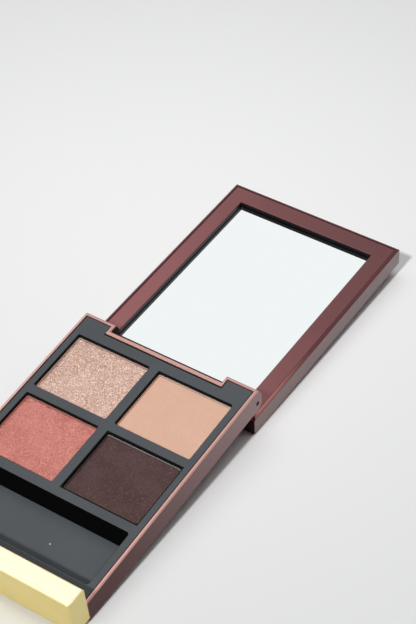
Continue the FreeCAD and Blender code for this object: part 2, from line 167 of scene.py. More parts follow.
def rgb(red, green, blue):
    """A colour as it reads on a screen, from 0 to 255, as the linear values that a socket holds."""
    return tuple(((c / 255 + 0.055) / 1.055) ** 2.4 for c in (red, green, blue)) + (1.0,)


print("screen grey 128 is", round(rgb(128, 128, 128)[0], 3), "on a socket")

# %% [markdown]
# ## Floor and light
# The palette lies on a plain pale table. A lamp in front, at about 45 degrees, gives half of the light, so the shadow
# under the raised base has an edge. The rest comes from the world, from above and behind, so the shadow behind the
# lid stays pale. Lamps alone could do this too, but a light this soft would take many of them. A weak lamp lifts the
# left side a little, and a panel far back on the left shines only in polished faces, which see the world as a pale
# room. A pool of light is painted into the table's colour, palest behind the palette on the left and greyer further
# out. Far from the palette the floor turns to one plain tone, so that no horizon shows.

# %% World
PLAIN_ROOM = 0.95
world = bpy.data.worlds.new("pale_room")
bpy.context.scene.world = world
world.use_nodes = True
sky = world.node_tree
sky.nodes.clear()
path = put(sky, "ShaderNodeLightPath")
x, y, height = put(sky, "ShaderNodeSeparateXYZ", {0: put(sky, "ShaderNodeTexCoord").outputs["Generated"]}).outputs
behind = sum_of(sky, "SUBTRACT", y, sum_of(sky, "MULTIPLY", x, 0.10))
overhead = ramp(sky, height, 0.62, 0.92, 0.02, 2.15)
fill = sum_of(sky, "MULTIPLY", overhead, ramp(sky, behind, -0.40, 0.40, 0.1, 1.0))
far_side = ramp(sky, y, -0.45, 0.10, 0.62, PLAIN_ROOM)
room = sum_of(sky, "MULTIPLY", far_side, ramp(sky, height, 0.25, 0.68, 0.80, 1.0))
strength = put(sky, "ShaderNodeMix", {0: path.outputs["Is Glossy Ray"], 2: fill, 3: room}).outputs[0]
plain = sum_of(sky, "MAXIMUM", path.outputs["Is Camera Ray"], path.outputs["Is Transmission Ray"])
strength = put(sky, "ShaderNodeMix", {0: plain, 2: strength, 3: PLAIN_ROOM}).outputs[0]
glow = put(sky, "ShaderNodeBackground", {"Color": (0.985, 1.0, 1.0, 1.0), "Strength": strength})
put(sky, "ShaderNodeOutputWorld", {"Surface": glow.outputs[0]})
bpy.context.scene.view_settings.view_transform = "Standard"
print("world has", len(sky.nodes), "nodes")

# %% Lamps
def softbox(name, place, size, power):
    """A square lamp that faces the middle of the palette."""
    lamp = bpy.data.lights.new(name, "AREA")
    lamp.shape = "SQUARE"
    lamp.size = size
    lamp.energy = power
    made = bpy.data.objects.new(name, lamp)
    bpy.context.scene.collection.objects.link(made)
    made.location = place
    made.rotation_euler = (-Vector(place)).to_track_quat("-Z", "Y").to_euler()
    return made


key = softbox("front_softbox", (0.06, -2.05, 2.20), 0.24, 63.0)
side = softbox("side_softbox", (-0.32, -0.06, 0.62), 0.30, 0.10)
panel = softbox("back_panel", (-0.48, 0.24, 0.84), 0.34, 0.62)
panel.visible_diffuse = False
print("lamps at", [[round(v, 2) for v in lamp.location] for lamp in (key, side, panel)])

# %% Floor
REACH = 3.0
floor_corners = [(-REACH, -REACH, 0), (REACH, -REACH, 0), (REACH, REACH, 0), (-REACH, REACH, 0)]
floor_mesh = bpy.data.meshes.new("table_top")
floor_mesh.from_pydata(floor_corners, [], [(0, 1, 2, 3)])
floor = bpy.data.objects.new("table_top", floor_mesh)
bpy.context.scene.collection.objects.link(floor)
print("floor of", round(floor.dimensions.x, 1), "m")

# %% Pale table top
# painted light: the middle of a pool of light painted into the table's colour
PAINTED_LIGHT_POOL_MIDDLE = (-0.04, 0.075, 0.0)
table_finish = bpy.data.materials.new("pale_table")
table_finish.use_nodes = True
tree = table_finish.node_tree
paint = tree.nodes["Principled BSDF"]
paint.inputs["Roughness"].default_value = 0.55
paint.inputs["Specular IOR Level"].default_value = 0.25
spot = put(tree, "ShaderNodeTexCoord").outputs["Object"]
away = put(tree, "ShaderNodeVectorMath", {0: spot, 1: PAINTED_LIGHT_POOL_MIDDLE}, operation="DISTANCE").outputs["Value"]
mottled = blend(tree, noise(tree, spot, 6.0), rgb(240, 240, 240), rgb(243, 243, 242))
# painted light: the table's colour falls from the pale pool to grey further out
feed(tree, paint.inputs["Base Color"], blend(tree, ramp(tree, away, 0.0, 0.26), mottled, rgb(214, 214, 214)))
path = put(tree, "ShaderNodeLightPath")
seen = sum_of(tree, "MAXIMUM", path.outputs["Is Camera Ray"], path.outputs["Is Glossy Ray"])
distant = put(tree, "ShaderNodeMixShader", {0: sum_of(tree, "MULTIPLY", ramp(tree, away, 0.21, 0.42), seen)})
feed(tree, distant.inputs[1], paint.outputs[0])
feed(tree, distant.inputs[2], put(tree, "ShaderNodeEmission", {"Color": rgb(228, 228, 228)}).outputs[0])
feed(tree, tree.nodes["Material Output"].inputs["Surface"], distant.outputs[0])
floor_mesh.materials.append(table_finish)
print(table_finish.name, "has", len(tree.nodes), "nodes")

# %% [markdown]
# ## Effects that finishes share
# Moulded and lacquered skins are never quite even, edges get rubbed, loose dust settles, and pearl flakes each face
# their own way. These could be drawn anew in every finish. Instead, each is a node group with named inputs, built once
# and placed in a finish with its own values. The groups only give out values that change over the surface, and the
# shader stays in the material. The band along the edges also carries painted shade where the tray meets its seam.

# %% Start a node group
def new_group(kind, name, inputs, outputs):
    """An empty group with named inputs, given as (name, kind, value), and named outputs, given as (name, kind)."""
    group = bpy.data.node_groups.new(name, kind)
    for label, socket_kind, value in inputs:
        socket = group.interface.new_socket(label, in_out="INPUT", socket_type=socket_kind)
        if value is not None:
            socket.default_value = value
    for label, socket_kind in outputs:
        group.interface.new_socket(label, in_out="OUTPUT", socket_type=socket_kind)
    return group, group.nodes.new("NodeGroupInput").outputs, group.nodes.new("NodeGroupOutput").inputs


SHADER = "ShaderNodeTree"
FLOAT, VECTOR = "NodeSocketFloat", "NodeSocketVector"
print("groups take", FLOAT, "and", VECTOR)

# %% Skin: broad clouds and a fine peel
SKIN, given, out = new_group(
    SHADER, "moulded_skin",
    [("Vector", VECTOR, None), ("Cloud Scale", FLOAT, 60.0), ("Peel Scale", FLOAT, 2500.0)],
    [("Cloud", FLOAT), ("Peel", FLOAT)],
)
feed(SKIN, out["Cloud"], ramp(SKIN, noise(SKIN, given["Vector"], given["Cloud Scale"], 3.0), 0.3, 0.7))
feed(SKIN, out["Peel"], noise(SKIN, given["Vector"], given["Peel Scale"], 3.0, 0.6))
print(SKIN.name, [socket.name for socket in out if socket.name])

# %% A patchy band along the edges of a box
EDGE_BAND, given, out = new_group(
    SHADER, "edge_band",
    [("Vector", VECTOR, None), ("Middle", VECTOR, None), ("Half", VECTOR, None), ("Width", FLOAT, 0.0005)],
    [("Mask", FLOAT)],
)
offset = put(EDGE_BAND, "ShaderNodeVectorMath", {0: given["Vector"], 1: given["Middle"]}, operation="SUBTRACT")
reach = put(EDGE_BAND, "ShaderNodeVectorMath", {0: offset.outputs[0]}, operation="ABSOLUTE")
depth = put(EDGE_BAND, "ShaderNodeVectorMath", {0: given["Half"], 1: reach.outputs[0]}, operation="SUBTRACT")
dx, dy, dz = put(EDGE_BAND, "ShaderNodeSeparateXYZ", {0: depth.outputs[0]}).outputs
# the middle one of the three depths is small only where two faces meet
lesser = sum_of(EDGE_BAND, "MINIMUM", dx, dy)
greater = sum_of(EDGE_BAND, "MAXIMUM", dx, dy)
to_edge = sum_of(EDGE_BAND, "MAXIMUM", lesser, sum_of(EDGE_BAND, "MINIMUM", greater, dz))
near_edge = sum_of(EDGE_BAND, "SUBTRACT", 1.0, sum_of(EDGE_BAND, "DIVIDE", to_edge, given["Width"]), clamp=True)
patchy = ramp(EDGE_BAND, noise(EDGE_BAND, given["Vector"], 700.0, 4.0), 0.35, 0.65, 0.35, 1.0)
feed(EDGE_BAND, out["Mask"], sum_of(EDGE_BAND, "MULTIPLY", near_edge, patchy))
print(EDGE_BAND.name, "has", len(EDGE_BAND.nodes), "nodes")

# %% Loose specks
SPECKS, given, out = new_group(
    SHADER, "loose_specks",
    [("Vector", VECTOR, None), ("Scale", FLOAT, 300.0), ("Share", FLOAT, 0.02), ("Size", FLOAT, 0.2)],
    [("Mask", FLOAT)],
)
grains = put(SPECKS, "ShaderNodeTexVoronoi", {"Vector": given["Vector"], "Scale": given["Scale"]})
pick = put(SPECKS, "ShaderNodeSeparateColor", {0: grains.outputs["Color"]}).outputs
kept = sum_of(SPECKS, "LESS_THAN", pick["Red"], given["Share"])
radius = sum_of(SPECKS, "MULTIPLY", given["Size"], pick["Green"])
inside = sum_of(SPECKS, "LESS_THAN", grains.outputs["Distance"], radius)
feed(SPECKS, out["Mask"], sum_of(SPECKS, "MULTIPLY", kept, inside))
print(SPECKS.name, "has", len(SPECKS.nodes), "nodes")

# %% Shimmer: small flakes that each face their own way
SHIMMER, given, out = new_group(
    SHADER, "pearl_shimmer",
    [("Vector", VECTOR, None), ("Scale", FLOAT, 5000.0), ("Share", FLOAT, 0.3), ("Tilt", FLOAT, 0.5)],
    [("Mask", FLOAT), ("Tint", FLOAT), ("Normal", VECTOR)],
)
flakes = put(SHIMMER, "ShaderNodeTexVoronoi", {"Vector": given["Vector"], "Scale": given["Scale"]})
pick = put(SHIMMER, "ShaderNodeSeparateColor", {0: flakes.outputs["Color"]}).outputs
feed(SHIMMER, out["Mask"], sum_of(SHIMMER, "LESS_THAN", pick["Red"], given["Share"]))
feed(SHIMMER, out["Tint"], pick["Green"])
lean = put(SHIMMER, "ShaderNodeVectorMath", {0: flakes.outputs["Color"], 1: (0.5, 0.5, 0.5)}, operation="SUBTRACT")
lean = put(SHIMMER, "ShaderNodeVectorMath", {0: lean.outputs[0], 3: given["Tilt"]}, operation="SCALE")
upright = put(SHIMMER, "ShaderNodeNewGeometry").outputs["Normal"]
facing = put(SHIMMER, "ShaderNodeVectorMath", {0: upright, 1: lean.outputs[0]}, operation="ADD")
facing = put(SHIMMER, "ShaderNodeVectorMath", {0: facing.outputs[0]}, operation="NORMALIZE")
feed(SHIMMER, out["Normal"], facing.outputs[0])
print(SHIMMER.name, "has", len(SHIMMER.nodes), "nodes")

# %% [markdown]
# ## Short words for finishes
# Every finish starts in the same way: a material, its shader and the place of a point. Most of them then ask where on
# the piece that point lies: in a box, along a slope, near an edge, on a face that looks up. Masks could be painted on
# each piece by hand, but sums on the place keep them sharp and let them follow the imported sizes.

# %% Start a finish
def new_finish(name, **constants):
    """A material, its tree, its shader and the place of a point; the constants go straight on the shader."""
    made = bpy.data.materials.new(name)
    made.use_nodes = True
    tree = made.node_tree
    shader = tree.nodes["Principled BSDF"]
    for socket, value in constants.items():
        shader.inputs[socket.replace("_", " ")].default_value = value
    return made, tree, shader, put(tree, "ShaderNodeTexCoord").outputs["Object"]


def use(tree, group, **values):
    """A node group placed in a material, with its inputs named by words joined with underscores."""
    made = put(tree, "ShaderNodeGroup", node_tree=group)
    for name, value in values.items():
        feed(tree, made.inputs[name.replace("_", " ")], value)
    return made.outputs


def relief(tree, shader, height, distance, strength=1.0):
    """Fine bumps on a shader from a height."""
    bump = put(tree, "ShaderNodeBump", {"Strength": strength, "Distance": distance, "Height": height})
    feed(tree, shader.inputs["Normal"], bump.outputs[0])


def wear(material, *names):
    """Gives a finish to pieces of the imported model."""
    for name in names:
        mesh = nodes[name].data
        if not mesh.materials:
            mesh.materials.append(material)
        for index in range(len(mesh.materials)):
            mesh.materials[index] = material
    print(material.name, "on", ", ".join(names))


print("finishes can use", ", ".join(group.name for group in (SKIN, EDGE_BAND, SPECKS, SHIMMER)))

# %% Where on a piece
def own_place(tree, spot, body):
    """The place of a point along its body's own axes, from the hinge."""
    made = put(tree, "ShaderNodeMapping", {"Vector": spot}, vector_type="TEXTURE")
    made.inputs["Location"].default_value = HINGE
    made.inputs["Rotation"].default_value = Euler((TURN[body], 0.0, 0.0))
    return made.outputs[0]


def within(tree, place, low, high):
    """1 where a place lies inside the box between two corners, and 0 elsewhere."""
    offset = put(tree, "ShaderNodeVectorMath", {0: place, 1: (low + high) / 2}, operation="SUBTRACT")
    reach = put(tree, "ShaderNodeVectorMath", {0: offset.outputs[0]}, operation="ABSOLUTE")
    sides = put(tree, "ShaderNodeSeparateXYZ", {0: reach.outputs[0]}).outputs
    in_x, in_y, in_z = (sum_of(tree, "LESS_THAN", side, half) for side, half in zip(sides, (high - low) / 2))
    return sum_of(tree, "MULTIPLY", in_x, sum_of(tree, "MULTIPLY", in_y, in_z))


def at_edges(tree, place, low, high, width):
    """A patchy band along the edges of the box between two corners, used for wear and for painted shade."""
    return use(tree, EDGE_BAND, Vector=place, Middle=(low + high) / 2, Half=(high - low) / 2, Width=width)["Mask"]


def slope(tree, place, direction):
    """How far a place lies along a direction."""
    return put(tree, "ShaderNodeVectorMath", {0: place, 1: direction}, operation="DOT_PRODUCT").outputs["Value"]


def upward(tree, low, high):
    """0 on steep faces and 1 on those that look up; between two heights of the normal it rises."""
    normal = put(tree, "ShaderNodeTexCoord").outputs["Normal"]
    return ramp(tree, put(tree, "ShaderNodeSeparateXYZ", {0: normal}).outputs["Z"], low, high)


def streaks(tree, place, scale, detail, turn=0.0):
    """A noise with its own scale along each axis, turned about the upright one."""
    stretched = put(tree, "ShaderNodeMapping", {"Vector": place, "Scale": scale, "Rotation": (0.0, 0.0, turn)})
    return noise(tree, stretched.outputs[0], 1.0, detail)


BEYOND = 1.0
print("a box that reaches", BEYOND, "m is open on that side")

# %% [markdown]
# ## Burgundy lacquer with a rose-metal rim
# Both shells are moulded plastic under a burgundy lacquer. Its colour carries painted shade: it runs from dark at the
# free end to pale at the hinge, strongly on the base and gently on the lid. Where the shells meet, the base's rim is a
# bare rose-coloured metallic coat whose pale rose is a painted highlight, and the lid's is a painted dark plum shade
# that turns to a painted rose highlight near the hinge. The inside of the base, the cheeks of its ears and the lid's
# hinge end are painted near black as shade. Separate strips could stand for the rims, but these are part of the same
# moulding, so heights and boxes along the body's own axes pick them inside one material.

# %% Lacquer on one shell
RUBBED_LACQUER = (0.24, 0.085, 0.082, 1)
# painted shade: the near-black colour put where the shells lie in shade
PAINTED_SHADE_DARK = (0.03, 0.010, 0.011, 1)


def lacquer(name, body, box, painted_light, gloss, rim, rim_painted_light, rim_metal, shade_boxes, rim_highlight=None):
    """Burgundy lacquer. The painted shade and the gloss go from the free end to the hinge end, and the rim lies between
    two heights.
    """
    made, tree, shader, spot = new_finish(name, Coat_Roughness=0.15, IOR=1.5, Specular_IOR_Level=0.1)
    place = own_place(tree, spot, body)
    low, high = box
    _, along, level = put(tree, "ShaderNodeSeparateXYZ", {0: place}).outputs
    skin = use(tree, SKIN, Vector=place, Cloud_Scale=45.0, Peel_Scale=1800.0)
    # painted shade: the lacquer is darker at the free end and paler at the hinge end
    to_hinge = ramp(tree, along, low.y, high.y, 0.0, 0.85)
    painted_light_share = sum_of(tree, "ADD", to_hinge, sum_of(tree, "MULTIPLY", skin["Cloud"], 0.15))
    rubbed = at_edges(tree, place, low, high, 0.5 * MM)
    burgundy = blend(tree, rubbed, blend(tree, painted_light_share, *painted_light), RUBBED_LACQUER)

    # painted light on the rim: a pale rose highlight on the base, a dark plum shade on the lid
    above, below = sum_of(tree, "GREATER_THAN", level, rim[0]), sum_of(tree, "LESS_THAN", level, rim[1])
    on_rim = sum_of(tree, "MULTIPLY", above, below)
    rim_painted_colour = blend(tree, skin["Cloud"], *rim_painted_light)
    # painted highlight: the lid's rim turns rose near the hinge on the right
    if rim_highlight:
        near_hinge = ramp(tree, slope(tree, place, (0.5, 1.0, 0.0)), -16 * MM, 10 * MM)
        rim_painted_colour = blend(tree, near_hinge, rim_painted_colour, rim_highlight)
    # painted shade: the hinge end, the ears' cheeks and the inside of the base are painted near black
    painted_shade = within(tree, place, *shade_boxes[0])
    for corners in shade_boxes[1:]:
        painted_shade = sum_of(tree, "MAXIMUM", painted_shade, within(tree, place, *corners))

    coloured = blend(tree, on_rim, burgundy, rim_painted_colour)
    feed(tree, shader.inputs["Base Color"], blend(tree, painted_shade, coloured, PAINTED_SHADE_DARK))
    feed(tree, shader.inputs["Metallic"], sum_of(tree, "MULTIPLY", on_rim, rim_metal))
    lacquered = sum_of(tree, "SUBTRACT", 1.0, sum_of(tree, "MAXIMUM", on_rim, painted_shade))
    coat = ramp(tree, along, low.y, high.y, *gloss)
    feed(tree, shader.inputs["Coat Weight"], sum_of(tree, "MULTIPLY", lacquered, coat))
    satin = ramp(tree, skin["Peel"], 0.2, 0.8, 0.27, 0.37)
    feed(tree, shader.inputs["Roughness"], sum_of(tree, "ADD", satin, sum_of(tree, "MULTIPLY", painted_shade, 0.4)))
    relief(tree, shader, skin["Peel"], 0.01 * MM, 0.4)
    return made


print("lacquer takes one shell at a time")

# %% Faces painted dark as shade
RIM = 0.32 * MM
SIDE_SKIN, FLOOR_SKIN, EARS_START = 0.4 * MM, 0.35 * MM, -2.2 * MM
inside_low = base_low + Vector((SIDE_SKIN, SIDE_SKIN, FLOOR_SKIN))
base_inside = (inside_low, Vector((base_high.x - SIDE_SKIN, EARS_START, base_high.z - RIM)))

shell_points = own_points("base_shell", "base")
notch_half = min(abs(point.x) for point in shell_points if point.y > -1.0 * MM)
in_notch = [point for point in shell_points if abs(point.x) < notch_half + 0.01 * MM]
notch_wall = min(point.y for point in in_notch if point.y > -5.0 * MM)
cheek = notch_half + 0.12 * MM
ear_cheeks = (Vector((-cheek, notch_wall, -BEYOND)), Vector((cheek, BEYOND, base_high.z - RIM)))

lid_behind = (Vector((-BEYOND, -2.4 * MM, -BEYOND)), Vector((BEYOND, BEYOND, 4.3 * MM)))
lid_end = (Vector((-BEYOND, lid_high.y - 0.2 * MM, -BEYOND)), Vector((BEYOND, BEYOND, lid_high.z - 0.4 * MM)))
print("notch", round(2000 * notch_half, 2), "mm wide, its wall at", round(1000 * notch_wall, 2))

# %% Lacquer on both shells
# painted shade: each pair of tones runs from the free end to the hinge end
BASE_PAINTED_SHADE = ((0.094, 0.024, 0.025, 1), (0.225, 0.061, 0.063, 1))
LID_PAINTED_SHADE = ((0.140, 0.036, 0.0375, 1), (0.162, 0.044, 0.046, 1))
# painted highlight for the base's rim, painted shade for the lid's, with a painted highlight near the hinge
ROSE_PAINTED_HIGHLIGHT = ((0.50, 0.275, 0.240, 1), (0.56, 0.310, 0.270, 1))
PLUM_PAINTED_SHADE = ((0.106, 0.038, 0.042, 1), (0.124, 0.046, 0.050, 1))
WARM_PAINTED_HIGHLIGHT = (0.36, 0.15, 0.135, 1)
base_lacquer = lacquer(
    "base_lacquer", "base", (base_low, base_high), BASE_PAINTED_SHADE, gloss=(0.0, 0.88), rim=(base_high.z - RIM, BEYOND),
    rim_painted_light=ROSE_PAINTED_HIGHLIGHT, rim_metal=0.4, shade_boxes=[base_inside, ear_cheeks],
)
lid_lacquer = lacquer(
    "lid_lacquer", "lid", (lid_low, lid_high), LID_PAINTED_SHADE, gloss=(0.85, 0.85), rim=(4.70 * MM, 5.02 * MM),
    rim_painted_light=PLUM_PAINTED_SHADE, rim_metal=0.9, shade_boxes=[lid_behind, lid_end], rim_highlight=WARM_PAINTED_HIGHLIGHT,
)
wear(base_lacquer, "base_shell")
wear(lid_lacquer, "lid_shell")

# %% [markdown]
# ## Mirror frame
# The frame round the mirror has a metallic burgundy lacquer, softer than the shells', with painted light that makes it
# paler towards the left and the hinge. The short walls of its recess are painted black as shade, and greyer on the
# left.
# The walls could be a piece of their own, but the mirror's outline, a little larger, finds them inside one material.

# %% Frame and its dark recess
mirror_low, mirror_high = own_box("mirror", "lid")
bezel_low, bezel_high = own_box("mirror_bezel", "lid")
RECESS_WALL = Vector((0.14 * MM, 0.14 * MM, BEYOND))

framing, tree, shader, spot = new_finish("frame_burgundy", IOR=1.5)
place = own_place(tree, spot, "lid")
skin = use(tree, SKIN, Vector=place, Cloud_Scale=40.0, Peel_Scale=2600.0)
# painted light: the frame is paler towards the left and the hinge
left_and_hinge = ramp(tree, slope(tree, place, (-0.78, 0.63, 0.0)), -72 * MM, 22 * MM, 0.0, 0.9)
painted_light = sum_of(tree, "ADD", left_and_hinge, sum_of(tree, "MULTIPLY", skin["Cloud"], 0.1))
burgundy = blend(tree, painted_light, (0.124, 0.043, 0.046, 1), (0.28, 0.101, 0.103, 1))
burgundy = blend(tree, at_edges(tree, place, bezel_low, bezel_high, 0.35 * MM), burgundy, (0.26, 0.105, 0.102, 1))
# painted shade: the recess walls are painted black, greyer on the left
recess = within(tree, place, mirror_low - RECESS_WALL, mirror_high + RECESS_WALL)
from_left = ramp(tree, put(tree, "ShaderNodeSeparateXYZ", {0: place}).outputs["X"], mirror_low.x, mirror_low.x + MM)
wall = blend(tree, from_left, (0.045, 0.038, 0.042, 1), (0.008, 0.007, 0.008, 1))
feed(tree, shader.inputs["Base Color"], blend(tree, recess, burgundy, wall))
feed(tree, shader.inputs["Metallic"], ramp(tree, recess, 0.0, 1.0, 0.6, 1.0))
feed(tree, shader.inputs["Roughness"], ramp(tree, skin["Peel"], 0.2, 0.8, 0.38, 0.48))
relief(tree, shader, skin["Peel"], 0.01 * MM, 0.4)
wear(framing, "mirror_bezel")

# %% [markdown]
# ## Mirror
# Silvered glass gives back nearly all the light, a little blue, and its ground edge looks green. Faint wiping marks
# change the gloss. Clear glass over a silver sheet could be modelled, but so thin a pane looks the same as one smooth
# metal. The pale room that it shows comes from the world.

# %% Mirror glass
glass, tree, shader, spot = new_finish("silvered_glass", Metallic=1.0)
place = own_place(tree, spot, "lid")
marks = streaks(tree, place, (30.0, 240.0, 30.0), 4.0, turn=0.7)
silver = blend(tree, marks, (0.925, 0.950, 0.955, 1), (0.940, 0.960, 0.965, 1))
ground_edge = at_edges(tree, place, mirror_low, mirror_high, 0.25 * MM)
feed(tree, shader.inputs["Base Color"], blend(tree, ground_edge, silver, (0.45, 0.58, 0.54, 1)))
feed(tree, shader.inputs["Roughness"], ramp(tree, marks, 0.4, 0.75, 0.015, 0.05))
wear(glass, "mirror")

# %% [markdown]
# ## Slate tray
# The insert is dark plastic. Its deck and floors have a fine eroded skin that spreads the light into a slate grey.
# Its walls and the lips of its wells are polished, so that it comes out of the mould, and they are painted black as
# shade. Two materials could be given face by face, but the way a face points tells them apart, and a box round each
# pan finds the lips. The outer edges are painted dark as the shade in the seam, and a few specks of dust and one
# crumb lie on the tray.

# %% Tray
tray_low, tray_high = own_box("tray", "base")
CRUMB = (Vector((6.43, -63.95, -2.0)) * MM, Vector((6.77, -63.61, 0.0)) * MM)
LIP_SHADE, BROWN_LIP_SHADE = 0.40 * MM, 0.5 * MM

slate, tree, shader, spot = new_finish("slate_plastic", IOR=1.5, Specular_IOR_Level=0.06)
place = own_place(tree, spot, "base")
skin = use(tree, SKIN, Vector=place, Cloud_Scale=70.0, Peel_Scale=5200.0)
grey = blend(tree, skin["Cloud"], (0.079, 0.086, 0.093, 1), (0.087, 0.0945, 0.1025, 1))
# painted shade: the tray's outer edges go near black into the seam
grey = blend(tree, at_edges(tree, place, tray_low, tray_high, 0.25 * MM), grey, (0.012, 0.012, 0.013, 1))
dust = use(tree, SPECKS, Vector=place, Scale=420.0, Share=0.012, Size=0.16)["Mask"]
dust = sum_of(tree, "MAXIMUM", dust, within(tree, place, *CRUMB))
grey = blend(tree, dust, grey, (0.74, 0.72, 0.69, 1))
eroded_and_lit = upward(tree, 0.85, 0.97)
for number in (1, 2, 3, 4):
    # a lip of painted shade shows on the far and left sides of a well, and all round the brown one
    pan_low, pan_high = own_box(f"pan_{number}", "base")
    far, near = (BROWN_LIP_SHADE, BROWN_LIP_SHADE) if number == 2 else (LIP_SHADE, 0.0)
    mouth = within(tree, place, pan_low - Vector((far, near, BEYOND)), pan_high + Vector((near, far, BEYOND)))
    eroded_and_lit = sum_of(tree, "MULTIPLY", eroded_and_lit, sum_of(tree, "SUBTRACT", 1.0, mouth))
# painted shade: walls and lips are black, the lit upward faces slate grey
feed(tree, shader.inputs["Base Color"], blend(tree, eroded_and_lit, (0.002, 0.002, 0.002, 1), grey))
dull = sum_of(tree, "MULTIPLY", eroded_and_lit, ramp(tree, skin["Peel"], 0.2, 0.8, 0.46, 0.60))
feed(tree, shader.inputs["Roughness"], sum_of(tree, "ADD", 0.12, dull))
relief(tree, shader, skin["Peel"], 0.02 * MM, 0.5)
wear(slate, "tray")

# %% [markdown]
# ## Gold bar
# The bar is pale gold with a satin polish along its length. Its draw lines could be cut into the shape, but they are
# finer than a hair, so a noise stretched along the bar only changes the gloss and the bump. The top is painted paler
# than the front, a painted highlight where it faces the lamps, and the edges are polished by handling.

# %% Pale gold
bar_low, bar_high = own_box("front_bar", "base")
gold, tree, shader, spot = new_finish("pale_gold", Metallic=0.9)
place = own_place(tree, spot, "base")
drawn = streaks(tree, place, (120.0, 6000.0, 6000.0), 3.0)
skin = use(tree, SKIN, Vector=place, Cloud_Scale=80.0, Peel_Scale=3000.0)
tone = blend(tree, skin["Cloud"], (0.77, 0.645, 0.278, 1), (0.806, 0.682, 0.311, 1))
# painted highlight: the faces that look up get a paler gold
tone = blend(tree, upward(tree, 0.80, 0.97), tone, (0.84, 0.71, 0.53, 1))
tone = blend(tree, at_edges(tree, place, bar_low, bar_high, 0.6 * MM), tone, (0.80, 0.66, 0.34, 1))
feed(tree, shader.inputs["Base Color"], tone)
feed(tree, shader.inputs["Roughness"], ramp(tree, drawn, 0.25, 0.75, 0.38, 0.48))
relief(tree, shader, drawn, 0.004 * MM, 0.5)
wear(gold, "front_bar")

# %% [markdown]
# ## Pans and hidden pieces
# The pans are pressed from thin aluminium. Powder of their own colour clings to them, so their rims are dull and
# tinted, and a painted shadow darkens their left rims. The pins, screws, keepers and magnets hardly show, and the glue
# and the foam behind the mirror not at all, but a part is turned over and taken apart. They could all be one grey.
# Instead, one function makes the metals, with fine scratches, and another the soft fillers, so each has its own finish.

# %% Metal
def metal(name, colour_a, colour_b, rough_low, rough_high, dust=None, shaded_box=None):
    """A metal with drawn scratches and a clouded tone. Dust is one colour that clings, and a second colour is painted
    shade in a box.
    """
    made, tree, shader, spot = new_finish(name, Metallic=1.0)
    scratches = streaks(tree, spot, (400.0, 400.0, 5000.0), 3.0)
    skin = use(tree, SKIN, Vector=spot, Cloud_Scale=150.0, Peel_Scale=4000.0)
    tone = blend(tree, skin["Cloud"], colour_a, colour_b)
    if dust:
        clinging = ramp(tree, skin["Peel"], 0.30, 0.60, 0.45, 1.0)
        # painted shade: the box along the left rim takes the second colour
        shaded = within(tree, own_place(tree, spot, "base"), *shaded_box)
        tone = blend(tree, shaded, blend(tree, clinging, tone, dust[0]), dust[1])
        powdery = sum_of(tree, "MAXIMUM", clinging, shaded)
        feed(tree, shader.inputs["Metallic"], sum_of(tree, "SUBTRACT", 1.0, powdery))
    feed(tree, shader.inputs["Base Color"], tone)
    feed(tree, shader.inputs["Roughness"], ramp(tree, scratches, 0.25, 0.75, rough_low, rough_high))
    relief(tree, shader, scratches, 0.005 * MM, 0.4)
    return made


SIDES = ("left", "right")
steel = metal("bright_steel", (0.52, 0.52, 0.53, 1), (0.60, 0.60, 0.61, 1), 0.22, 0.36)
nickel = metal("nickel_plate", (0.62, 0.60, 0.56, 1), (0.68, 0.66, 0.62, 1), 0.14, 0.26)
wear(steel, *[f"{kind}_{side}" for kind in ("hinge_pin", "bar_screw", "lid_keeper") for side in SIDES])
wear(nickel, *[f"base_magnet_{side}" for side in SIDES])

# %% Pans with clinging powder
ALUMINIUM = ((0.42, 0.40, 0.38, 1), (0.50, 0.48, 0.46, 1), 0.40, 0.56)
# for each pan: the colour of clinging dust, then the painted shade on its left rim
DUST_AND_SHADE = {
    1: ((0.48, 0.17, 0.14, 1), (0.38, 0.13, 0.11, 1)),
    2: ((0.24, 0.21, 0.20, 1), (0.05, 0.028, 0.026, 1)),
    3: ((0.56, 0.37, 0.30, 1), (0.45, 0.29, 0.235, 1)),
    4: ((0.66, 0.52, 0.45, 1), (0.48, 0.27, 0.19, 1)),
}
for number, dust in DUST_AND_SHADE.items():
    low, high = own_box(f"pan_{number}", "base")
    left_rim = (low - Vector((1, 1, 1)) * MM, Vector((low.x + 0.30 * MM, high.y - 0.5 * MM, high.z + MM)))
    wear(metal(f"pan_{number}_aluminium", *ALUMINIUM, dust, left_rim), f"pan_{number}")

# %% Glue and foam
def soft_filler(name, colour_a, colour_b, scale, rough):
    """A dull rubbery filler with a lumpy skin."""
    made, tree, shader, spot = new_finish(name, Specular_IOR_Level=0.3)
    skin = use(tree, SKIN, Vector=spot, Cloud_Scale=scale, Peel_Scale=scale * 12)
    feed(tree, shader.inputs["Base Color"], blend(tree, skin["Cloud"], colour_a, colour_b))
    feed(tree, shader.inputs["Roughness"], ramp(tree, skin["Peel"], 0.2, 0.8, rough - 0.1, rough + 0.1))
    relief(tree, shader, skin["Peel"], 0.03 * MM, 0.6)
    return made


glue = soft_filler("melted_glue", (0.70, 0.66, 0.54, 1), (0.78, 0.75, 0.65, 1), 300.0, 0.4)
foam = soft_filler("adhesive_foam", (0.74, 0.74, 0.72, 1), (0.82, 0.82, 0.80, 1), 900.0, 0.7)
wear(glue, *[f"pan_glue_{number}" for number in (1, 2, 3, 4)])
wear(foam, "mirror_adhesive")

# %% [markdown]
# ## Cakes of pressed powder
# A press leaves each cake with a faint crown, a rounded margin and a grainy top. They could be sculpted one by one, but
# all four follow one rule, so one Geometry Nodes tree makes them: a grid whose corners are pulled in to the pan's
# radius, thickened, and lifted by a crown and a noise. Only the grain differs from shade to shade, and each cake
# replaces its plain block.

# %% Cake: a plan with round corners
GRID_POINTS = 121
SMALLEST = 1e-7


